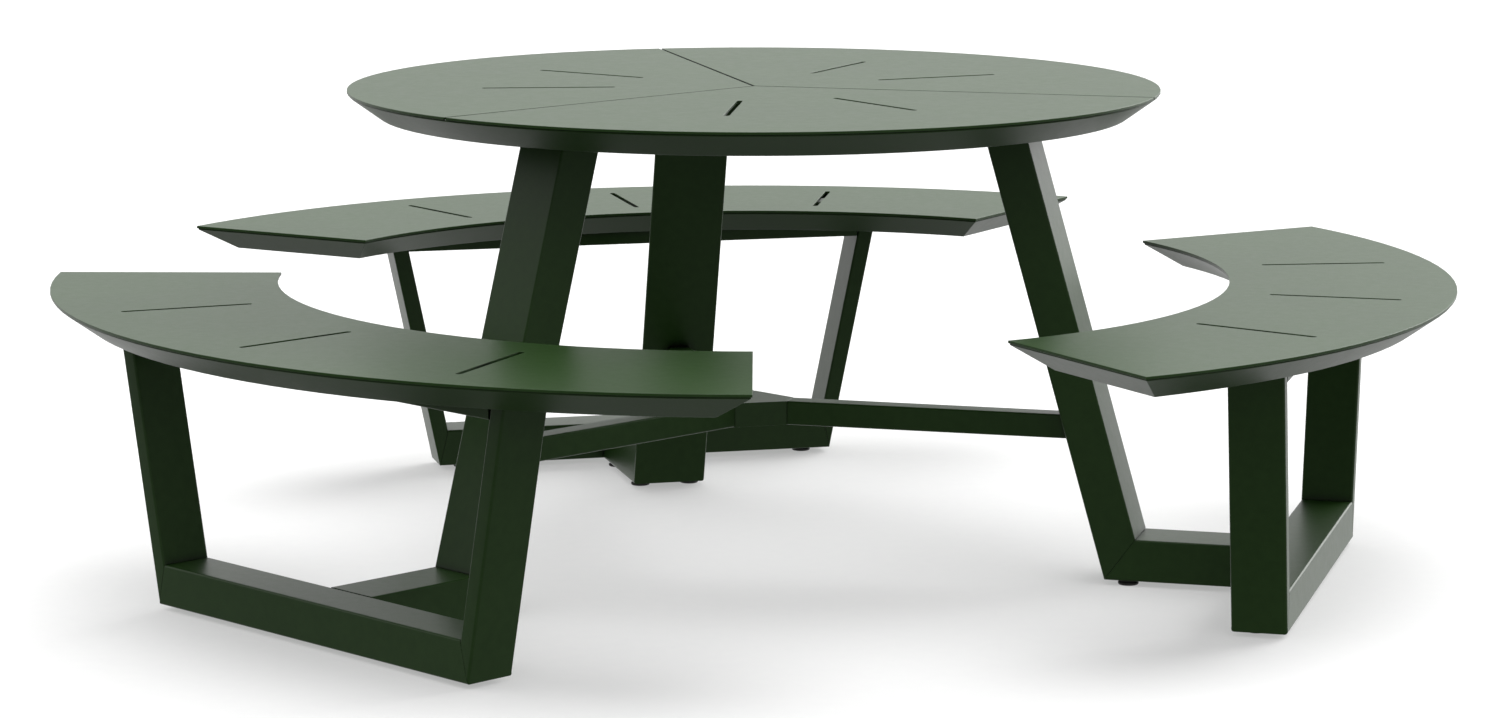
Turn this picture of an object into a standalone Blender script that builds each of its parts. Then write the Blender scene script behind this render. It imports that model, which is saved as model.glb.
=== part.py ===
"""Round steel picnic table with three curved seats, on frames of folded box sections.

The table is three equal modules, 120 degrees apart about the table's axis, +Z. A module is a third of the
table top, one seat with its frame, and the leg that carries its side of the table. A module is built in its
own frame, where +X runs outward from the table's axis and +Y runs along the seat, and an empty turns it into
place. Metres throughout, with the floor at z = 0.

Run with: blender --background --python part.py
"""

import math

import bmesh
import bpy
from mathutils import Vector

# Overall sizes
TABLE_HEIGHT = 0.750
TABLE_RADIUS = 0.633
SEAT_HEIGHT = 0.454
SEAT_INNER_RADIUS = 0.744
SEAT_OUTER_RADIUS = 1.093
SEAT_HALF_ANGLE = math.radians(45.4)
MODULE_ANGLES = {"a": math.radians(225), "b": math.radians(345), "c": math.radians(105)}
MODULE_STEP = math.radians(120)

# Clearances
GAP = 0.0003  # between pieces that touch
SEAM = 0.0045  # between the table top's panels

# Top panels and the sloping skirts under them
PANEL_THICKNESS = 0.004
PANEL_EDGE = 0.0004
TRAY_DEPTH = 0.040  # from a panel's top to its skirt's underside
SKIRT_OVERHANG = 0.002
SKIRT_LIP = 0.002
SKIRT_RUN = 0.047  # how far a skirt slopes inward
SKIRT_FLANGE = 0.040
SHEET = 0.0025

# Drain slots, which all point at the table's axis
SLOT_WIDTH = 0.009
SEAT_SLOT_INNER = 0.815
SEAT_SLOT_OUTER = 1.016
SEAT_SLOT_PITCH = math.radians(22.1)
TABLE_SLOT_INNER = 0.216
TABLE_SLOT_OUTER = 0.424
TABLE_SLOT_ANGLE = math.radians(20)  # to each side of a panel's middle

# Box sections
WALL = 0.003
FOLD_RADIUS = 0.004
FRAME_INNER = 0.822  # the seat frame's side nearer the table
FRAME_DEPTH = 0.083
BEAM_HEIGHT = 0.0626
SEAT_LEG_WIDTH = 0.028  # along the seat
SEAT_LEG_REACH = 0.3524  # half the seat frame's width at the floor
SEAT_LEG_SPLAY = 0.2045  # how far a leg leans out for each metre up
CROSSBAR_HEIGHT = 0.026
RISER_WIDTH = 0.050
RISER_HALF_LENGTH = 0.360
TABLE_LEG_REACH = 0.6425  # the leg's outer face at the floor
TABLE_LEG_LEAN = 0.286  # how far a leg leans in for each metre up
TABLE_LEG_DEPTH = 0.0633
TABLE_LEG_BACK = 0.126  # width of the face toward the table's axis
TABLE_LEG_FRONT = 0.0952

# Brace between the table legs
BRACE_SIDE = 0.038
BRACE_LOW = 0.218
HUB_REACH = 0.0595
HUB_WALL = 0.004

# Under the table top
RAIL_WIDTH = 0.090
RAIL_REACH = 0.540
HEAD_PLATE_WIDTH = 0.150
HEAD_PLATE_LENGTH = 0.116
HEAD_PLATE_THICKNESS = 0.006
BOLT_HEAD_RADIUS = 0.0095
BOLT_HEAD_HEIGHT = 0.0053
BOLT_INSET = 0.016

# Glides under the floor beams
GLIDE_RADIUS = 0.016
GLIDE_HEIGHT = 0.008
GLIDE_EDGE = 0.0015
GLIDE_SETBACK = 0.035
GLIDE_SIDE_INSET = 0.020
END_GLIDE_SETBACK = 0.044
END_GLIDE_INSET = 0.030

# Facets
SEAT_ARC_STEPS = 32
PANEL_ARC_STEPS = 32
SLOT_END_STEPS = 4
FOLD_STEPS = 3
GLIDE_STEPS = 16
SMOOTH_ANGLE = math.radians(30)

CUTTER_SIZE = 0.4
UNTRIMMED = 1.2  # a bar's length before its ends are cut, over the height it stands in
MERGE = 0.000001

GREEN = (0.028, 0.042, 0.020, 1)
BLACK = (0.008, 0.010, 0.008, 1)

# Heights that follow from the sizes above
BEAM_LOW = GLIDE_HEIGHT
BEAM_TOP = BEAM_LOW + BEAM_HEIGHT
SEAT_TRAY_LOW = SEAT_HEIGHT - TRAY_DEPTH
CROSSBAR_LOW = SEAT_TRAY_LOW - CROSSBAR_HEIGHT
TABLE_TRAY_LOW = TABLE_HEIGHT - TRAY_DEPTH
FRAME_MIDDLE = FRAME_INNER + FRAME_DEPTH / 2

AXIS_X = Vector((1, 0, 0))
AXIS_Y = Vector((0, 1, 0))
AXIS_Z = Vector((0, 0, 1))


def clear_scene():
    """Start from an empty scene."""
    for item in list(bpy.data.objects):
        bpy.data.objects.remove(item)


def new_collection(name, hidden=False):
    """A collection under the scene's own."""
    made = bpy.data.collections.new(name)
    made.hide_render = hidden
    bpy.context.scene.collection.children.link(made)
    return made


def paint(name, colour, roughness, metallic):
    """A material of one part's own."""
    material = bpy.data.materials.new(name + "_finish")
    material.use_nodes = True
    shader = material.node_tree.nodes["Principled BSDF"]
    shader.inputs["Base Color"].default_value = colour
    shader.inputs["Roughness"].default_value = roughness
    shader.inputs["Metallic"].default_value = metallic
    material.diffuse_color = colour
    return material


def green_paint(name):
    """Satin powder coat."""
    return paint(name, GREEN, roughness=0.42, metallic=0.0)


def black_plastic(name):
    """Moulded glide plastic."""
    return paint(name, BLACK, roughness=0.6, metallic=0.0)


def place(name, mesh, home, module=None, location=(0, 0, 0), rotation=(0, 0, 0)):
    """Put a mesh in the scene, in a module's frame if one is given."""
    placed = bpy.data.objects.new(name, mesh)
    placed.location = location
    placed.rotation_euler = rotation
    placed.parent = module
    home.objects.link(placed)
    return placed


def add_part(name, mesh, parts, module=None, location=(0, 0, 0), rotation=(0, 0, 0), finish=green_paint):
    """Place a mesh as one of the table's pieces, with its own finish."""
    mesh.shade_smooth()
    mesh.set_sharp_from_angle(angle=SMOOTH_ANGLE)
    part = place(name, mesh, parts, module, location, rotation)
    mesh.materials.append(finish(name))
    return part


# Outlines: lists of points in a plane


def arc(radius, start, end, steps):
    """Points along an arc about the origin."""
    angles = [start + (end - start) * step / steps for step in range(steps + 1)]
    return [Vector((radius * math.cos(angle), radius * math.sin(angle))) for angle in angles]


def slot(angle, inner, outer):
    """A round-ended slot that points at the origin."""
    half = SLOT_WIDTH / 2
    far = arc(half, -math.pi / 2, math.pi / 2, SLOT_END_STEPS)
    near = arc(half, math.pi / 2, 3 * math.pi / 2, SLOT_END_STEPS)
    points = [point + Vector((outer - half, 0)) for point in far]
    points += [point + Vector((inner + half, 0)) for point in near]
    turn = Vector((math.cos(angle), math.sin(angle)))
    return [Vector((p.x * turn.x - p.y * turn.y, p.x * turn.y + p.y * turn.x)) for p in points]


def rectangle(width, height):
    """A rectangle about the origin."""
    x = width / 2
    y = height / 2
    return [Vector(corner) for corner in ((-x, -y), (x, -y), (x, y), (-x, y))]


def inset(corners, distance):
    """A counterclockwise outline moved inward."""
    moved = []
    for index, corner in enumerate(corners):
        arriving = (corner - corners[index - 1]).normalized().orthogonal()
        leaving = (corners[(index + 1) % len(corners)] - corner).normalized().orthogonal()
        moved.append(corner + (arriving + leaving) * distance / (1 + arriving.dot(leaving)))
    return moved


def rounded(corners, radius):
    """A convex counterclockwise outline with its corners rounded."""
    points = []
    for index, centre in enumerate(inset(corners, radius)):
        arriving = corners[index] - corners[index - 1]
        leaving = corners[(index + 1) % len(corners)] - corners[index]
        start = math.atan2(arriving.y, arriving.x) - math.pi / 2
        turn = arriving.angle_signed(leaving)
        points += [centre + point for point in arc(radius, start, start + abs(turn), FOLD_STEPS)]
    return points


def seat_outline(trim=0):
    """A seat's rim, or an outline inside it by the trim all round: two arcs and two radial ends."""
    outer = SEAT_OUTER_RADIUS - trim
    inner = SEAT_INNER_RADIUS + trim
    outer_angle = SEAT_HALF_ANGLE - math.asin(trim / outer)
    inner_angle = SEAT_HALF_ANGLE - math.asin(trim / inner)
    far_side = arc(outer, -outer_angle, outer_angle, SEAT_ARC_STEPS)
    near_side = arc(inner, inner_angle, -inner_angle, SEAT_ARC_STEPS)
    return far_side + near_side


def table_outline(trim=0):
    """The round top's rim, or a circle inside it."""
    steps = PANEL_ARC_STEPS * len(MODULE_ANGLES)
    return arc(TABLE_RADIUS - trim, 0, math.tau, steps)[:-1]


def table_panel_outline():
    """A third of the round top, half a seam short of its neighbours."""
    half_angle = MODULE_STEP / 2
    rim_trim = math.asin(SEAM / 2 / TABLE_RADIUS)
    tip = Vector((SEAM / 2 / math.sin(half_angle), 0))
    return [tip] + arc(TABLE_RADIUS, rim_trim - half_angle, half_angle - rim_trim, PANEL_ARC_STEPS)


# Meshes


def filled(name, outlines, depth):
    """A flat plate or a tube: the first outline is its rim, the others are holes. Centred on z = 0."""
    curve = bpy.data.curves.new(name, "CURVE")
    curve.dimensions = "2D"
    curve.fill_mode = "BOTH"
    curve.extrude = depth / 2
    for outline in outlines:
        spline = curve.splines.new("POLY")
        spline.points.add(len(outline) - 1)
        spline.use_cyclic_u = True
        for point, place_on_plane in zip(spline.points, outline):
            point.co = (place_on_plane.x, place_on_plane.y, 0, 1)
    drawn = bpy.data.objects.new(name, curve)
    mesh = bpy.data.meshes.new_from_object(drawn)
    bpy.data.objects.remove(drawn)
    bpy.data.curves.remove(curve)
    shape = bmesh.new()
    shape.from_mesh(mesh)
    bmesh.ops.remove_doubles(shape, verts=shape.verts, dist=MERGE)
    bmesh.ops.recalc_face_normals(shape, faces=shape.faces)
    shape.to_mesh(mesh)
    shape.free()
    return mesh


def tube(name, corners, length):
    """A box section with open ends, along its own Z."""
    return filled(name, [rounded(corners, FOLD_RADIUS), inset(corners, WALL)], length)


def sloping_skirt(name, outline):
    """An open sheet under a rim at z = 0: a short upright lip, a slope inward, and a level flange."""
    drop = TRAY_DEPTH - PANEL_THICKNESS - GAP
    slope_end = SKIRT_OVERHANG + SKIRT_RUN
    section = (
        (SKIRT_OVERHANG, 0),
        (SKIRT_OVERHANG, -SKIRT_LIP),
        (slope_end, -drop),
        (slope_end + SKIRT_FLANGE, -drop),
    )
    shape = bmesh.new()
    rows = []
    for trim, height in section:
        rows.append([shape.verts.new((point.x, point.y, height)) for point in outline(trim)])
    for row, next_row in zip(rows, rows[1:]):
        for index in range(len(row)):
            shape.faces.new((row[index - 1], row[index], next_row[index], next_row[index - 1]))
    mesh = bpy.data.meshes.new(name)
    shape.to_mesh(mesh)
    shape.free()
    return mesh


def box(name, size, centre=(0, 0, 0)):
    """A plain box."""
    shape = bmesh.new()
    bmesh.ops.create_cube(shape, size=1)
    bmesh.ops.scale(shape, vec=size, verts=shape.verts)
    bmesh.ops.translate(shape, vec=centre, verts=shape.verts)
    mesh = bpy.data.meshes.new(name)
    shape.to_mesh(mesh)
    shape.free()
    return mesh


# Modifiers


def soften(part, width):
    """A narrow bevel along the sharp edges."""
    bevel = part.modifiers.new("soften", "BEVEL")
    bevel.width = width
    bevel.segments = 1
    bevel.limit_method = "ANGLE"
    bevel.angle_limit = SMOOTH_ANGLE


def thicken(part):
    """Sheet thickness on the side that the faces point to."""
    solidify = part.modifiers.new("thicken", "SOLIDIFY")
    solidify.thickness = SHEET
    solidify.offset = 1
    solidify.use_even_offset = True


def combine(part, tool, operation):
    """An exact Boolean with a tool object."""
    tool.display_type = "WIRE"
    tool.hide_render = True
    boolean = part.modifiers.new(tool.name, "BOOLEAN")
    boolean.object = tool
    boolean.operation = operation
    boolean.solver = "EXACT"


def slice_off(part, point, direction, tools):
    """Remove what lies beyond a point in a direction, with a large block whose face is the cut."""
    heading = direction.normalized()
    name = f"{part.name}_cut_{len(part.modifiers)}"
    turn = heading.to_track_quat("Z", "Y").to_euler()
    middle = point + heading * CUTTER_SIZE / 2
    block = place(name, box(name, (CUTTER_SIZE,) * 3), tools, part.parent, middle, turn)
    combine(part, block, "DIFFERENCE")


def mitre(first, second, low, high, across, tools):
    """Trim two parts to meet on the plane through low and high. The second is on the normal's side."""
    normal = (high - low).cross(across).normalized()
    middle = (low + high) / 2
    slice_off(first, middle - normal * GAP / 2, normal, tools)
    slice_off(second, middle + normal * GAP / 2, -normal, tools)


# The table top


def build_table_panel(tag, module, parts):
    """A sector of the top, centred between this module's leg and the next one."""
    outlines = [table_panel_outline()]
    for side in (-1, 1):
        outlines.append(slot(side * TABLE_SLOT_ANGLE, TABLE_SLOT_INNER, TABLE_SLOT_OUTER))
    mesh = filled(f"table_panel_{tag}", outlines, PANEL_THICKNESS)
    where = (0, 0, TABLE_HEIGHT - PANEL_THICKNESS / 2)
    panel = add_part(mesh.name, mesh, parts, module, where, (0, 0, MODULE_STEP / 2))
    soften(panel, PANEL_EDGE)


def build_table_skirt(parts):
    """The sloping ring under the top's edge."""
    mesh = sloping_skirt("table_skirt", table_outline)
    skirt = add_part(mesh.name, mesh, parts, None, (0, 0, TABLE_HEIGHT - PANEL_THICKNESS - GAP))
    thicken(skirt)


def build_top_rail(tag, module, parts, tools):
    """The rail that carries the seam between two panels, mitred to its neighbours at the centre."""
    low = TABLE_TRAY_LOW
    high = TABLE_HEIGHT - PANEL_THICKNESS - GAP
    mesh = tube(f"top_rail_{tag}", rectangle(RAIL_WIDTH, high - low), RAIL_REACH)
    where = (RAIL_REACH / 2, 0, (low + high) / 2)
    rail = add_part(mesh.name, mesh, parts, module, where, (math.pi / 2, 0, math.pi / 2))
    for side in (-1, 1):
        angle = side * (MODULE_STEP / 2 + math.pi / 2)
        normal = Vector((math.cos(angle), math.sin(angle), 0))
        slice_off(rail, AXIS_Z * (low + high) / 2 - normal * GAP / 2, normal, tools)


# The seat and its frame


def build_seat(tag, module, parts):
    """The seat's slotted panel and the sloping skirt under it."""
    slots = [slot(turn * SEAT_SLOT_PITCH, SEAT_SLOT_INNER, SEAT_SLOT_OUTER) for turn in (-1, 0, 1)]
    mesh = filled(f"seat_panel_{tag}", [seat_outline()] + slots, PANEL_THICKNESS)
    panel = add_part(mesh.name, mesh, parts, module, (0, 0, SEAT_HEIGHT - PANEL_THICKNESS / 2))
    soften(panel, PANEL_EDGE)
    mesh = sloping_skirt(f"seat_skirt_{tag}", seat_outline)
    skirt = add_part(mesh.name, mesh, parts, module, (0, 0, SEAT_HEIGHT - PANEL_THICKNESS - GAP))
    thicken(skirt)


def seat_leg_face(height):
    """How far the outer side of a seat leg is from the frame's middle, at a height."""
    return SEAT_LEG_REACH + SEAT_LEG_SPLAY * height


def build_seat_bars(tag, module, parts):
    """The crossbar between the seat legs, and the riser from it to the seat's panel."""
    length = 2 * (seat_leg_face(CROSSBAR_LOW) - SEAT_LEG_WIDTH - GAP)
    height = CROSSBAR_HEIGHT - GAP
    mesh = tube(f"seat_crossbar_{tag}", rectangle(FRAME_DEPTH, height), length)
    where = (FRAME_MIDDLE, 0, CROSSBAR_LOW + height / 2)
    add_part(mesh.name, mesh, parts, module, where, (-math.pi / 2, 0, 0))
    low = SEAT_TRAY_LOW
    high = SEAT_HEIGHT - PANEL_THICKNESS - GAP
    mesh = tube(f"seat_riser_{tag}", rectangle(RISER_WIDTH, high - low), 2 * RISER_HALF_LENGTH)
    where = (FRAME_MIDDLE, 0, (low + high) / 2)
    add_part(mesh.name, mesh, parts, module, where, (-math.pi / 2, 0, 0))


def build_seat_frame(tag, module, parts, tools):
    """The floor beam along the seat, and the two legs that lean out from its ends."""
    length = 2 * seat_leg_face(BEAM_TOP)
    mesh = tube(f"floor_beam_{tag}", rectangle(FRAME_DEPTH, BEAM_HEIGHT), length)
    where = (FRAME_MIDDLE, 0, BEAM_LOW + BEAM_HEIGHT / 2)
    beam = add_part(mesh.name, mesh, parts, module, where, (-math.pi / 2, 0, 0))
    lean = math.atan(SEAT_LEG_SPLAY)
    thickness = SEAT_LEG_WIDTH * math.cos(lean)
    middle_height = SEAT_TRAY_LOW / 2
    for side, hand in ((-1, "right"), (1, "left")):
        mesh = tube(f"seat_leg_{tag}_{hand}", rectangle(FRAME_DEPTH, thickness), SEAT_HEIGHT * UNTRIMMED)
        where = (FRAME_MIDDLE, side * (seat_leg_face(middle_height) - SEAT_LEG_WIDTH / 2), middle_height)
        leg = add_part(mesh.name, mesh, parts, module, where, (-side * lean, 0, 0))
        low = Vector((FRAME_MIDDLE, side * seat_leg_face(BEAM_LOW), BEAM_LOW))
        high = Vector((FRAME_MIDDLE, side * (seat_leg_face(BEAM_TOP) - SEAT_LEG_WIDTH), BEAM_TOP))
        mitre(beam, leg, low, high, AXIS_X * side, tools)
        top = Vector((where[0], side * seat_leg_face(SEAT_TRAY_LOW), SEAT_TRAY_LOW - GAP))
        slice_off(leg, top, AXIS_Z, tools)


# The table leg and what it stands on


def table_leg_face(height):
    """How far a table leg's outer face is from the table's axis, at a height."""
    return TABLE_LEG_REACH - TABLE_LEG_LEAN * height


def build_table_leg(tag, module, parts, tools):
    """The leaning table leg and the radial floor beam, mitred at the foot."""
    lean = math.atan(TABLE_LEG_LEAN)
    half_depth = TABLE_LEG_DEPTH * math.cos(lean) / 2
    half_back = TABLE_LEG_BACK / 2
    half_front = TABLE_LEG_FRONT / 2
    leg_section = [
        Vector((-half_depth, -half_back)),
        Vector((half_depth, -half_front)),
        Vector((half_depth, half_front)),
        Vector((-half_depth, half_back)),
    ]
    middle_height = TABLE_HEIGHT / 2
    mesh = tube(f"table_leg_{tag}", leg_section, TABLE_HEIGHT * UNTRIMMED)
    where = (table_leg_face(middle_height) - TABLE_LEG_DEPTH / 2, 0, middle_height)
    leg = add_part(mesh.name, mesh, parts, module, where, (0, -lean, 0))

    half_height = BEAM_HEIGHT / 2
    beam_section = [
        Vector((-half_back, -half_height)),
        Vector((half_back, -half_height)),
        Vector((half_front, half_height)),
        Vector((-half_front, half_height)),
    ]
    foot = table_leg_face(BEAM_LOW) - TABLE_LEG_DEPTH
    length = FRAME_INNER - GAP - foot
    mesh = tube(f"radial_beam_{tag}", beam_section, length)
    where = (foot + length / 2, 0, BEAM_LOW + half_height)
    beam = add_part(mesh.name, mesh, parts, module, where, (math.pi / 2, 0, math.pi / 2))

    low = Vector((foot, 0, BEAM_LOW))
    high = Vector((table_leg_face(BEAM_TOP), 0, BEAM_TOP))
    mitre(leg, beam, low, high, -AXIS_Y, tools)
    head = TABLE_TRAY_LOW - HEAD_PLATE_THICKNESS - 2 * GAP
    slice_off(leg, Vector((table_leg_face(head), 0, head)), AXIS_Z, tools)


def build_head_plate(tag, module, parts, tools):
    """The plate between a table leg and its top rail, with the heads of its four bolts."""
    size = (HEAD_PLATE_LENGTH, HEAD_PLATE_WIDTH, HEAD_PLATE_THICKNESS)
    name = f"head_plate_{tag}"
    high = TABLE_TRAY_LOW - GAP
    where = (table_leg_face(high) - TABLE_LEG_DEPTH / 2, 0, high - HEAD_PLATE_THICKNESS / 2)
    plate = add_part(name, box(name, size), parts, module, where)
    shape = bmesh.new()
    for x in (-1, 1):
        for y in (-1, 1):
            made = bmesh.ops.create_cone(
                shape,
                cap_ends=True,
                segments=6,
                radius1=BOLT_HEAD_RADIUS,
                radius2=BOLT_HEAD_RADIUS,
                depth=BOLT_HEAD_HEIGHT * 2,
            )
            spot = (x * (size[0] / 2 - BOLT_INSET), y * (size[1] / 2 - BOLT_INSET), -size[2] / 2)
            bmesh.ops.translate(shape, vec=spot, verts=made["verts"])
    mesh = bpy.data.meshes.new(name + "_bolts")
    shape.to_mesh(mesh)
    shape.free()
    bolts = place(mesh.name, mesh, tools, module, where)
    combine(plate, bolts, "UNION")


# The brace between the table legs


def build_brace(tag, module, parts, tools):
    """A level strut from the hub to the inner face of a table leg."""
    middle = BRACE_LOW + BRACE_SIDE / 2
    start = HUB_REACH + GAP
    length = TABLE_LEG_REACH - start
    mesh = tube(f"brace_{tag}", rectangle(BRACE_SIDE, BRACE_SIDE), length)
    where = (start + length / 2, 0, middle)
    brace = add_part(mesh.name, mesh, parts, module, where, (math.pi / 2, 0, math.pi / 2))
    touch = Vector((table_leg_face(middle) - TABLE_LEG_DEPTH, 0, middle))
    outward = Vector((1, 0, TABLE_LEG_LEAN)).normalized()
    slice_off(brace, touch - outward * GAP, outward, tools)


def build_hub(parts, tools):
    """A six-sided box, open below: three short sides take the braces and three long ones close the gaps."""
    corners = []
    for angle in sorted(MODULE_ANGLES.values()):
        for side in (-1, 1):
            x = HUB_REACH
            y = side * BRACE_SIDE / 2
            corners.append(
                Vector((x * math.cos(angle) - y * math.sin(angle), x * math.sin(angle) + y * math.cos(angle)))
            )
    mesh = filled("hub", [corners], BRACE_SIDE)
    hub = add_part(mesh.name, mesh, parts, None, (0, 0, BRACE_LOW + BRACE_SIDE / 2))
    hollow = filled("hub_hollow", [inset(corners, HUB_WALL)], BRACE_SIDE)
    tool = place(hollow.name, hollow, tools, None, (0, 0, BRACE_LOW + BRACE_SIDE / 2 - HUB_WALL))
    combine(hub, tool, "DIFFERENCE")


# The glides


def glide_mesh(name):
    """A glide's profile, for a Screw modifier to turn."""
    profile = (
        (0, 0),
        (GLIDE_RADIUS - GLIDE_EDGE, 0),
        (GLIDE_RADIUS, GLIDE_EDGE),
        (GLIDE_RADIUS, GLIDE_HEIGHT - GAP),
        (0, GLIDE_HEIGHT - GAP),
    )
    shape = bmesh.new()
    points = [shape.verts.new((radius, 0, height)) for radius, height in profile]
    for start, end in zip(points, points[1:]):
        shape.edges.new((start, end))
    mesh = bpy.data.meshes.new(name)
    shape.to_mesh(mesh)
    shape.free()
    return mesh


def turn_profile(part):
    """Turn a profile about its own Z."""
    screw = part.modifiers.new("turn", "SCREW")
    screw.steps = GLIDE_STEPS
    screw.render_steps = GLIDE_STEPS
    screw.use_merge_vertices = True
    screw.merge_threshold = MERGE
    screw.use_normal_flip = True


def build_glides(tag, module, parts):
    """Four glides under the radial beam and one near each end of the beam along the seat."""
    inner = table_leg_face(BEAM_LOW) - TABLE_LEG_DEPTH + GLIDE_SETBACK
    outer = FRAME_INNER - GLIDE_SETBACK
    half_width = TABLE_LEG_BACK / 2 - GLIDE_SIDE_INSET
    half_length = SEAT_LEG_REACH - END_GLIDE_SETBACK
    end = FRAME_INNER + END_GLIDE_INSET
    for number, (x, y) in enumerate(((inner, half_width), (outer, half_width), (end, half_length)), 1):
        for side, hand in ((-1, "right"), (1, "left")):
            name = f"glide_{tag}_{hand}_{number}"
            glide = add_part(name, glide_mesh(name), parts, module, (x, side * y, 0), finish=black_plastic)
            turn_profile(glide)


def main():
    """Build the table."""
    clear_scene()
    parts = new_collection("picnic_table")
    tools = new_collection("cutters", hidden=True)
    for tag, angle in MODULE_ANGLES.items():
        module = bpy.data.objects.new(f"module_{tag}", None)
        module.rotation_euler = (0, 0, angle)
        parts.objects.link(module)
        build_table_panel(tag, module, parts)
        build_top_rail(tag, module, parts, tools)
        build_seat(tag, module, parts)
        build_seat_bars(tag, module, parts)
        build_seat_frame(tag, module, parts, tools)
        build_table_leg(tag, module, parts, tools)
        build_head_plate(tag, module, parts, tools)
        build_brace(tag, module, parts, tools)
        build_glides(tag, module, parts)
    build_table_skirt(parts)
    build_hub(parts, tools)
    bpy.context.view_layer.update()


main()
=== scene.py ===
"""Looks for the round picnic table: satin powder coat, turned glides, bolts, floor, light and camera.

Everything is in the frame's metres, with the floor at z = 0 and -Y toward the viewer.
"""

import math

import bmesh
import bpy
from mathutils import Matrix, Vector


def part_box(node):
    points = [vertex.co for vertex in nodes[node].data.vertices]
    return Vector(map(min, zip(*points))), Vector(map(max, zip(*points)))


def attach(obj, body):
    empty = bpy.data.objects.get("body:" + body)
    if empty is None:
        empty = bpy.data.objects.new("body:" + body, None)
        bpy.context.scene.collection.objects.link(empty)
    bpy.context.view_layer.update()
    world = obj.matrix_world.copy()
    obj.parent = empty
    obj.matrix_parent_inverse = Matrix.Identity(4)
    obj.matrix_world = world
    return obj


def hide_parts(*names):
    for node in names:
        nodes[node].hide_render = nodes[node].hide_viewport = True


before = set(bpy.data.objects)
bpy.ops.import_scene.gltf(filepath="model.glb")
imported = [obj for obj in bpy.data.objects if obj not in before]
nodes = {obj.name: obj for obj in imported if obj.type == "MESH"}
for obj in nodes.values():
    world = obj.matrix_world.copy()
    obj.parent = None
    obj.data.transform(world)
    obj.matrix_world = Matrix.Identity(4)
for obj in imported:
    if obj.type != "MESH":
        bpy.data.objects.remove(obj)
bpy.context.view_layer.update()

MODULES = {"a": math.radians(225), "b": math.radians(345), "c": math.radians(105)}

# Shading and edges of the carried-over nodes
SMOOTH_ANGLE = math.radians(28)
MERGE = 1e-5
EDGE_RADIUS = {"panel": 0.00015, "skirt": 0.0012, "section": 0.0006}

# Coat colours, linear
COAT_DEEP = (0.0110, 0.0325, 0.0050, 1)
COAT_LIGHT = (0.0136, 0.0375, 0.0065, 1)
COAT_EDGE = (0.030, 0.062, 0.022, 1)
# Painted shade: near-black coat colour painted into slots and seams, within the reach below
COAT_PAINTED_SHADE = (0.0012, 0.0026, 0.0008, 1)
PAINTED_SHADE_REACH = 0.014
COAT_SPECULAR = 0.16

# Coat texture: lumps or cells per metre, then depths and reach in metres
COAT_CLOUD = 7
COAT_MOTTLE = 70
COAT_GRAIN = 620
COAT_PEEL = 330
GRAIN_DEPTH = 0.0003
PEEL_DEPTH = 0.0004
WEAR_REACH = 0.0012

# Glide and bolt finishes
PLASTIC_DEEP = (0.0060, 0.0085, 0.0055, 1)
PLASTIC_LIGHT = (0.0110, 0.0140, 0.0100, 1)
PLASTIC_DUST = (0.060, 0.058, 0.052, 1)
ZINC_DEEP = (0.42, 0.43, 0.44, 1)
ZINC_LIGHT = (0.60, 0.61, 0.62, 1)

# Light: a sky that is a little dimmer below the horizon, as (up, where it starts,
# where it is full, dark, bright)
SKY = ((0, 0, 1), -0.90, 0.10, 0.32, 0.44)

# Patches of light on the sky, as (direction, where it starts, where it is full, radiance)
PATCHES = (
    ((0, 1, 0.25), 0.22, 0.70, 0.90),  # wide backdrop
    ((0, 0, 1), 0.86, 0.98, 4.7),  # overhead
    ((0, -0.6, 0.8), 0.86, 0.98, 0.9),  # high in front
    ((-0.85, 0, 0.5), 0.86, 0.98, 1.2),  # left
    ((0.6, 0.6, 0.45), 0.86, 0.98, 6.8),  # behind right
    ((0.7, -0.7, 0.15), 0.60, 0.95, 0.3),  # faint fill, low in front on the right
)
FLOOR_GLOW = 0.39

# Glides
GLIDE_STEPS = 48
GLIDE_RECESS = 0.0006  # how far the middle of a glide's foot stands off the floor

# Bolts, on the corners of the head plates
HEAD_PLATE_LENGTH = 0.116
HEAD_PLATE_WIDTH = 0.150
BOLT_INSET = 0.016
CAD_HEAD_HEIGHT = 0.0053  # of the plain heads under a plate, which the bolts cover
BOLT_DROP = 0.0064  # from a plate's underside to the bolt's face
BOLT_ACROSS_FLATS = 0.0185
BOLT_CHAMFER = 0.0007
WASHER_RADIUS = 0.0125
WASHER_THICKNESS = 0.0016
WASHER_EDGE = 0.0003
WASHER_STEPS = 32

# Stage
FLOOR_SIZE = 120
FLOOR_DARK = (0.425, 0.425, 0.425, 1)
FLOOR_PALE = (0.435, 0.435, 0.432, 1)
WHITE = (1, 1, 1, 1)
SENSOR_WIDTH = 36
VIEW_LIMIT = 200

# Camera
CAMERA_PLACE = (0.0557, -6.7129, 1.4507)
CAMERA_DOWN = math.radians(9.582)
CAMERA_TURN = math.radians(0.524)
CAMERA_LENS = 103.54


# Node helpers


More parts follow.
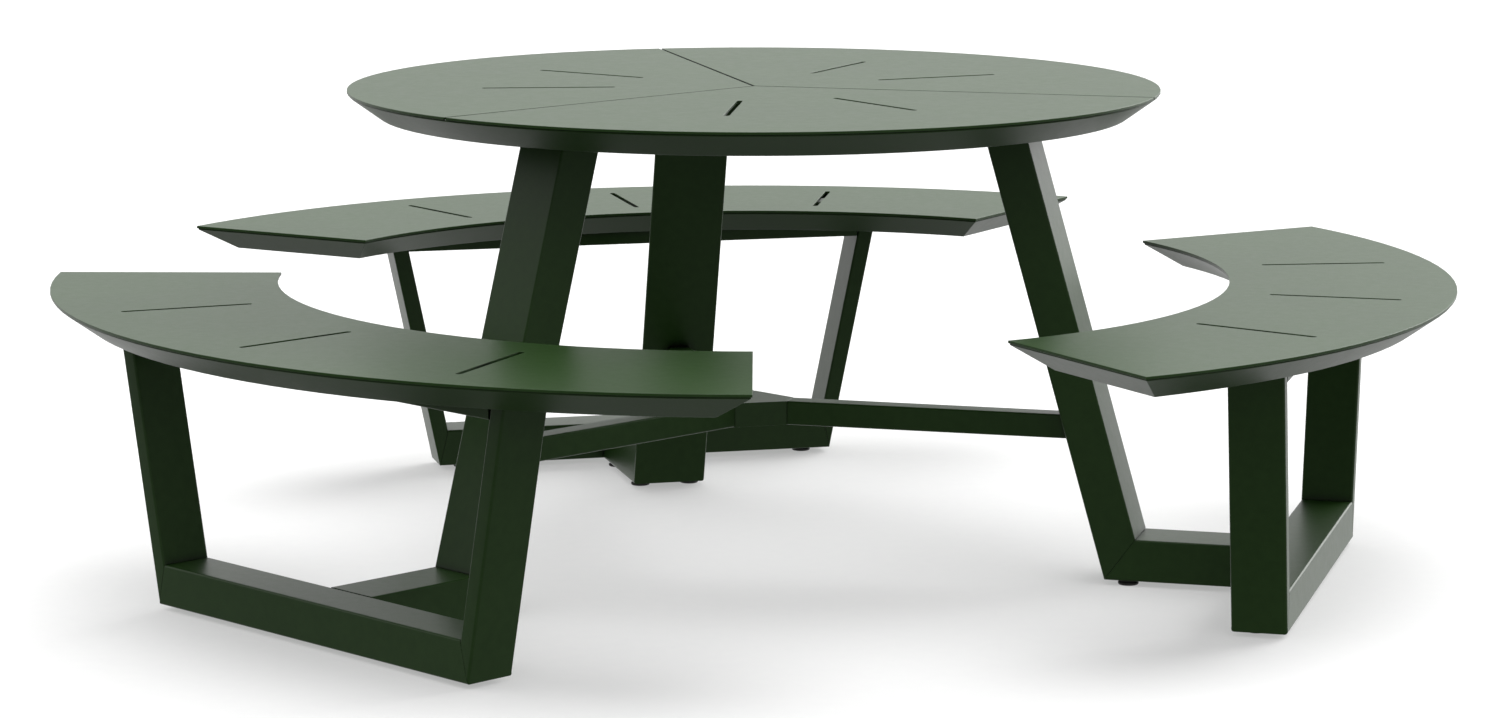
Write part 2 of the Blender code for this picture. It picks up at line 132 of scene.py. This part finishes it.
class Shading:
    """A material's node tree, with short calls for the nodes that the finishes share."""

    def __init__(self, name, roughness, metallic, specular):
        self.material = bpy.data.materials.new(name)
        self.material.use_nodes = True
        self.tree = self.material.node_tree
        self.shader = self.tree.nodes["Principled BSDF"]
        self.shader.inputs["Roughness"].default_value = roughness
        self.shader.inputs["Metallic"].default_value = metallic
        self.shader.inputs["Specular IOR Level"].default_value = specular
        self.place = self.add("ShaderNodeTexCoord").outputs["Object"]

    def add(self, kind, **settings):
        """A node of a kind, with its settings."""
        node = self.tree.nodes.new(kind)
        for key, value in settings.items():
            setattr(node, key, value)
        return node

    def put(self, socket, value):
        """Link an output to a socket, or set the socket's own value."""
        if isinstance(value, bpy.types.NodeSocket):
            self.tree.links.new(value, socket)
        else:
            socket.default_value = value

    def noise(self, per_metre, detail=2.0, rough=0.5):
        """Noise at a scale in lumps per metre."""
        node = self.add("ShaderNodeTexNoise")
        self.put(node.inputs["Vector"], self.place)
        self.put(node.inputs["Scale"], per_metre)
        self.put(node.inputs["Detail"], detail)
        self.put(node.inputs["Roughness"], rough)
        return node.outputs["Fac"]

    def cells(self, per_metre):
        """Distance to the nearest of scattered points, at a scale in points per metre."""
        node = self.add("ShaderNodeTexVoronoi")
        self.put(node.inputs["Vector"], self.place)
        self.put(node.inputs["Scale"], per_metre)
        return node.outputs["Distance"]

    def spread(self, value, low, high, to_low=0.0, to_high=1.0):
        """Stretch a value's range."""
        node = self.add("ShaderNodeMapRange")
        for name, given in (("Value", value), ("From Min", low), ("From Max", high)):
            self.put(node.inputs[name], given)
        self.put(node.inputs["To Min"], to_low)
        self.put(node.inputs["To Max"], to_high)
        return node.outputs["Result"]

    def maths(self, operation, first, second):
        """One sum of two values."""
        node = self.add("ShaderNodeMath", operation=operation)
        self.put(node.inputs[0], first)
        self.put(node.inputs[1], second)
        return node.outputs["Value"]

    def blend(self, share, first, second):
        """A colour between two, by a share. Sockets 6 and 7, and output 2, are the node's colour ones."""
        node = self.add("ShaderNodeMix", data_type="RGBA")
        self.put(node.inputs["Factor"], share)
        self.put(node.inputs[6], first)
        self.put(node.inputs[7], second)
        return node.outputs[2]

    def edges(self, radius):
        """1 on edges, convex or concave, falling to 0 on flats."""
        rounded = self.add("ShaderNodeBevel", samples=4)
        self.put(rounded.inputs["Radius"], radius)
        flat = self.add("ShaderNodeNewGeometry").outputs["Normal"]
        product = self.add("ShaderNodeVectorMath", operation="DOT_PRODUCT")
        self.put(product.inputs[0], rounded.outputs["Normal"])
        self.put(product.inputs[1], flat)
        return self.spread(product.outputs["Value"], 0.995, 0.80)

    def painted_shade_mask(self, reach):
        """1 in the open, falling to 0 deep in slots and seams: the mask for painted shade, where the coat
        is darkened toward near-black.
        """
        node = self.add("ShaderNodeAmbientOcclusion", samples=4, only_local=False)
        self.put(node.inputs["Distance"], reach)
        return self.spread(node.outputs["AO"], 0.45, 0.95)

    def relief(self, layers):
        """Stacked bumps from (height, strength, depth in metres) layers, into the shader's normal."""
        normal = None
        for height, strength, depth in layers:
            bump = self.add("ShaderNodeBump")
            self.put(bump.inputs["Height"], height)
            self.put(bump.inputs["Strength"], strength)
            self.put(bump.inputs["Distance"], depth)
            if normal is not None:
                self.put(bump.inputs["Normal"], normal)
            normal = bump.outputs["Normal"]
        self.put(self.shader.inputs["Normal"], normal)


def powder_coat(name, roughness, grain, wear):
    """Fine-textured satin powder coat: grains, orange peel, faint mottling, thin coat along edges, and
    painted shade darkening slots and seams.
    """
    look = Shading(name, roughness, metallic=0.0, specular=COAT_SPECULAR)
    cloud = look.noise(COAT_CLOUD, detail=3)
    mottle = look.noise(COAT_MOTTLE, detail=3)
    grains = look.noise(COAT_GRAIN, detail=2, rough=0.65)
    peel = look.cells(COAT_PEEL)
    tone = look.maths("ADD", look.maths("MULTIPLY", cloud, 0.45), look.maths("MULTIPLY", mottle, 0.55))
    coat = look.blend(look.spread(tone, 0.38, 0.62), COAT_DEEP, COAT_LIGHT)
    fleck = look.spread(grains, 0.60, 0.74, 0.0, 0.15)
    coat = look.blend(fleck, coat, COAT_EDGE)
    worn = look.maths("MULTIPLY", look.edges(WEAR_REACH), look.spread(mottle, 0.42, 0.62, wear * 0.2, wear))
    coat = look.blend(worn, coat, COAT_EDGE)
    # Painted shade: the coat is darkened toward a near-black green deep in slots and seams
    look.put(look.shader.inputs["Base Color"], look.blend(look.painted_shade_mask(PAINTED_SHADE_REACH), COAT_PAINTED_SHADE, coat))
    gloss = look.spread(look.maths("ADD", mottle, grains), 0.7, 1.3, roughness - 0.02, roughness + 0.02)
    look.put(look.shader.inputs["Roughness"], gloss)
    look.relief(((peel, grain / 2, PEEL_DEPTH), (grains, grain, GRAIN_DEPTH)))
    return look.material


def moulded_plastic(name):
    """Matt moulded plastic with scuffs and dust low down."""
    look = Shading(name, roughness=0.6, metallic=0.0, specular=0.4)
    cloud = look.noise(160, detail=3)
    grains = look.noise(1500, detail=2, rough=0.6)
    plastic = look.blend(look.spread(cloud, 0.35, 0.65), PLASTIC_DEEP, PLASTIC_LIGHT)
    height = look.add("ShaderNodeSeparateXYZ")
    look.put(height.inputs["Vector"], look.place)
    low = look.spread(height.outputs["Z"], 0.0035, 0.0, 0.0, 0.5)
    dust = look.maths("MULTIPLY", low, look.spread(cloud, 0.40, 0.60))
    look.put(look.shader.inputs["Base Color"], look.blend(dust, plastic, PLASTIC_DUST))
    look.put(look.shader.inputs["Roughness"], look.spread(grains, 0.3, 0.7, 0.5, 0.72))
    look.relief(((cloud, 0.10, 0.0003), (grains, 0.25, 0.0001)))
    return look.material


def plated_steel(name):
    """Zinc plating with faint spangle."""
    look = Shading(name, roughness=0.35, metallic=1.0, specular=0.5)
    cloud = look.noise(240, detail=3)
    spangle = look.cells(700)
    tone = look.maths("ADD", look.maths("MULTIPLY", cloud, 0.7), look.maths("MULTIPLY", spangle, 0.4))
    zinc = look.blend(look.spread(tone, 0.35, 0.75), ZINC_DEEP, ZINC_LIGHT)
    look.put(look.shader.inputs["Base Color"], zinc)
    look.put(look.shader.inputs["Roughness"], look.spread(cloud, 0.3, 0.7, 0.26, 0.46))
    look.relief(((spangle, 0.08, 0.0002),))
    return look.material


def studio_floor(name):
    """Smooth pale floor that glows faintly, like a lit table."""
    look = Shading(name, roughness=0.9, metallic=0.0, specular=0.0)
    grains = look.noise(40, detail=4)
    shade = look.blend(look.spread(grains, 0.3, 0.7), FLOOR_DARK, FLOOR_PALE)
    look.put(look.shader.inputs["Base Color"], shade)
    look.put(look.shader.inputs["Emission Color"], WHITE)
    look.put(look.shader.inputs["Emission Strength"], FLOOR_GLOW)
    return look.material


SHEET_COAT = powder_coat("coat_on_sheet", roughness=0.40, grain=0.12, wear=0.15)
SECTION_COAT = powder_coat("coat_on_sections", roughness=0.38, grain=0.12, wear=0.55)
GLIDE_PLASTIC = moulded_plastic("glide_plastic_moulded")
BOLT_ZINC = plated_steel("bolt_zinc")
FLOOR_PAINT = studio_floor("studio_floor")


# The carried-over nodes


def smoothing_group():
    """A modifier's node group that joins split corners and shades all but the sharp edges smooth."""
    group = bpy.data.node_groups.new("smooth_by_angle", "GeometryNodeTree")
    group.interface.new_socket("Geometry", in_out="INPUT", socket_type="NodeSocketGeometry")
    group.interface.new_socket("Geometry", in_out="OUTPUT", socket_type="NodeSocketGeometry")
    start = group.nodes.new("NodeGroupInput")
    end = group.nodes.new("NodeGroupOutput")
    merge = group.nodes.new("GeometryNodeMergeByDistance")
    merge.inputs["Distance"].default_value = MERGE
    plain = group.nodes.new("GeometryNodeRemoveAttribute")
    plain.inputs["Name"].default_value = "custom_normal"
    faces = group.nodes.new("GeometryNodeSetShadeSmooth")
    faces.domain = "FACE"
    faces.inputs["Shade Smooth"].default_value = True
    angle = group.nodes.new("GeometryNodeInputMeshEdgeAngle")
    gentle = group.nodes.new("FunctionNodeCompare")
    gentle.data_type = "FLOAT"
    gentle.operation = "LESS_THAN"
    gentle.inputs[1].default_value = SMOOTH_ANGLE
    edges = group.nodes.new("GeometryNodeSetShadeSmooth")
    edges.domain = "EDGE"
    link = group.links.new
    link(start.outputs[0], plain.inputs["Geometry"])
    link(plain.outputs["Geometry"], merge.inputs["Geometry"])
    link(merge.outputs["Geometry"], faces.inputs["Geometry"])
    link(faces.outputs["Geometry"], edges.inputs["Geometry"])
    link(angle.outputs["Unsigned Angle"], gentle.inputs[0])
    link(gentle.outputs["Result"], edges.inputs["Shade Smooth"])
    link(edges.outputs["Geometry"], end.inputs[0])
    return group


def finish_node(node, group, radius, material):
    """Give a node smooth shading, narrow rounded edges and its finish."""
    node.modifiers.new("smooth_by_angle", "NODES").node_group = group
    bevel = node.modifiers.new("edge_radius", "BEVEL")
    bevel.width = radius
    bevel.segments = 2
    bevel.limit_method = "ANGLE"
    bevel.angle_limit = SMOOTH_ANGLE
    bevel.use_clamp_overlap = True
    bevel.harden_normals = True
    flats = node.modifiers.new("flat_faces", "WEIGHTED_NORMAL")
    flats.keep_sharp = True
    node.material_slots[0].material = material


def finish_cad_nodes():
    """Finish every node that stays in view."""
    group = smoothing_group()
    for name, node in nodes.items():
        if name.startswith("glide_"):
            continue
        if "_panel_" in name:
            finish_node(node, group, EDGE_RADIUS["panel"], SHEET_COAT)
        elif "skirt" in name:
            finish_node(node, group, EDGE_RADIUS["skirt"], SHEET_COAT)
        else:
            finish_node(node, group, EDGE_RADIUS["section"], SECTION_COAT)


# New pieces


def add_piece(name, shape, material, location):
    """Put a bmesh in the scene as a piece that rides on the table."""
    mesh = bpy.data.meshes.new(name)
    bmesh.ops.recalc_face_normals(shape, faces=shape.faces)
    shape.to_mesh(mesh)
    shape.free()
    mesh.shade_smooth()
    mesh.set_sharp_from_angle(angle=SMOOTH_ANGLE)
    mesh.materials.append(material)
    piece = bpy.data.objects.new(name, mesh)
    piece.location = location
    bpy.context.scene.collection.objects.link(piece)
    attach(piece, "root")
    return piece


def lathe(profile, steps):
    """A closed turned shape from (radius, height) points, whose first and last lie on the axis."""
    shape = bmesh.new()
    points = [shape.verts.new((radius, 0, height)) for radius, height in profile]
    lines = [shape.edges.new(pair) for pair in zip(points, points[1:])]
    bmesh.ops.spin(
        shape,
        geom=points + lines,
        axis=(0, 0, 1),
        cent=(0, 0, 0),
        angle=math.tau,
        steps=steps,
        use_merge=True,
        use_duplicate=False,
    )
    bmesh.ops.remove_doubles(shape, verts=shape.verts, dist=MERGE)
    return shape


def build_glides():
    """Turned glides: a rounded foot, a shoulder, and a narrower collar against the beam."""
    low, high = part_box("glide_a_left_1")
    radius = (high.x - low.x) / 2
    height = high.z - low.z
    profile = (
        (0, GLIDE_RECESS),
        (radius * 0.55, GLIDE_RECESS),
        (radius * 0.60, 0),
        (radius * 0.86, 0),
        (radius * 0.94, height * 0.05),
        (radius * 0.985, height * 0.14),
        (radius, height * 0.26),
        (radius, height * 0.46),
        (radius * 0.97, height * 0.56),
        (radius * 0.90, height * 0.62),
        (radius * 0.80, height * 0.65),
        (radius * 0.76, height * 0.70),
        (radius * 0.76, height * 0.97),
        (radius * 0.74, height),
        (0, height),
    )
    for name in sorted(nodes):
        if name.startswith("glide_"):
            low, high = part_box(name)
            centre = (low + high) / 2
            foot = (centre.x, centre.y, low.z)
            piece = add_piece(name + "_turned", lathe(profile, GLIDE_STEPS), GLIDE_PLASTIC, foot)
            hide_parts(name)


def bolt_shape():
    """A hexagon head with a chamfered face, hanging down from a washer whose top is at z = 0."""
    washer_profile = (
        (0, 0),
        (WASHER_RADIUS - WASHER_EDGE, 0),
        (WASHER_RADIUS, -WASHER_EDGE),
        (WASHER_RADIUS, -WASHER_THICKNESS),
        (0, -WASHER_THICKNESS),
    )
    shape = lathe(washer_profile, WASHER_STEPS)
    corner_radius = BOLT_ACROSS_FLATS / math.sqrt(3)
    made = bmesh.ops.create_cone(
        shape,
        cap_ends=True,
        segments=6,
        radius1=corner_radius,
        radius2=corner_radius,
        depth=BOLT_DROP - WASHER_THICKNESS,
    )
    bmesh.ops.translate(shape, verts=made["verts"], vec=(0, 0, -(BOLT_DROP + WASHER_THICKNESS) / 2))
    face_edges = [
        edge for edge in shape.edges if all(vert.co.z < -BOLT_DROP + MERGE for vert in edge.verts)
    ]
    bmesh.ops.bevel(
        shape, geom=face_edges, offset=BOLT_CHAMFER, segments=2, affect="EDGES", clamp_overlap=True
    )
    return shape


def build_bolts():
    """A bolt and washer under each corner of the three head plates."""
    half_length = HEAD_PLATE_LENGTH / 2 - BOLT_INSET
    half_width = HEAD_PLATE_WIDTH / 2 - BOLT_INSET
    for tag, angle in MODULES.items():
        low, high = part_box(f"head_plate_{tag}")
        centre = (low + high) / 2
        outward = Vector((math.cos(angle), math.sin(angle), 0))
        along = Vector((-math.sin(angle), math.cos(angle), 0))
        underside = low.z + CAD_HEAD_HEIGHT
        for number, (x, y) in enumerate(((-1, -1), (1, -1), (1, 1), (-1, 1)), 1):
            spot = centre + outward * x * half_length + along * y * half_width
            spot.z = underside
            add_piece(f"bolt_{tag}_{number}", bolt_shape(), BOLT_ZINC, spot)


# Stage, light and camera


def studio_light():
    """The world: the soft sky with its patches of light, and no lamps."""
    world = bpy.data.worlds.new("studio")
    bpy.context.scene.world = world
    world.use_nodes = True
    add = world.node_tree.nodes.new
    link = world.node_tree.links.new
    heading = add("ShaderNodeTexCoord").outputs["Generated"]

    def toward(direction, start, full, dark, bright):
        """Radiance that rises from dark to bright as the heading turns toward a direction."""
        product = add("ShaderNodeVectorMath")
        product.operation = "DOT_PRODUCT"
        link(heading, product.inputs[0])
        product.inputs[1].default_value = Vector(direction).normalized()
        ramp = add("ShaderNodeMapRange")
        ramp.interpolation_type = "SMOOTHSTEP"
        link(product.outputs["Value"], ramp.inputs["Value"])
        for name, value in (("From Min", start), ("From Max", full), ("To Min", dark), ("To Max", bright)):
            ramp.inputs[name].default_value = value
        return ramp.outputs["Result"]

    total = toward(*SKY)
    for direction, start, full, radiance in PATCHES:
        both = add("ShaderNodeMath")
        both.operation = "ADD"
        link(total, both.inputs[0])
        link(toward(direction, start, full, 0, radiance), both.inputs[1])
        total = both.outputs["Value"]
    sky = world.node_tree.nodes["Background"]
    sky.inputs["Color"].default_value = WHITE
    link(total, sky.inputs["Strength"])


def build_floor():
    """A wide pale floor. What it would throw back up is already in the lower half of the sky."""
    bpy.ops.mesh.primitive_plane_add(size=FLOOR_SIZE, location=(0, 0, 0))
    floor = bpy.context.object
    floor.name = "floor"
    floor.visible_diffuse = False
    floor.visible_glossy = False
    floor.visible_shadow = False
    floor.data.materials.append(FLOOR_PAINT)


def build_camera():
    """The camera at the viewing angle, without lens shift or depth of field."""
    lens = bpy.data.cameras.new("camera")
    lens.sensor_width = SENSOR_WIDTH
    lens.lens = CAMERA_LENS
    lens.clip_end = VIEW_LIMIT
    camera = bpy.data.objects.new("camera", lens)
    camera.location = CAMERA_PLACE
    camera.rotation_euler = (math.pi / 2 - CAMERA_DOWN, 0, CAMERA_TURN)
    bpy.context.scene.collection.objects.link(camera)
    bpy.context.scene.camera = camera


finish_cad_nodes()
build_glides()
build_bolts()
build_floor()
studio_light()
build_camera()
bpy.context.scene.view_settings.view_transform = "Standard"
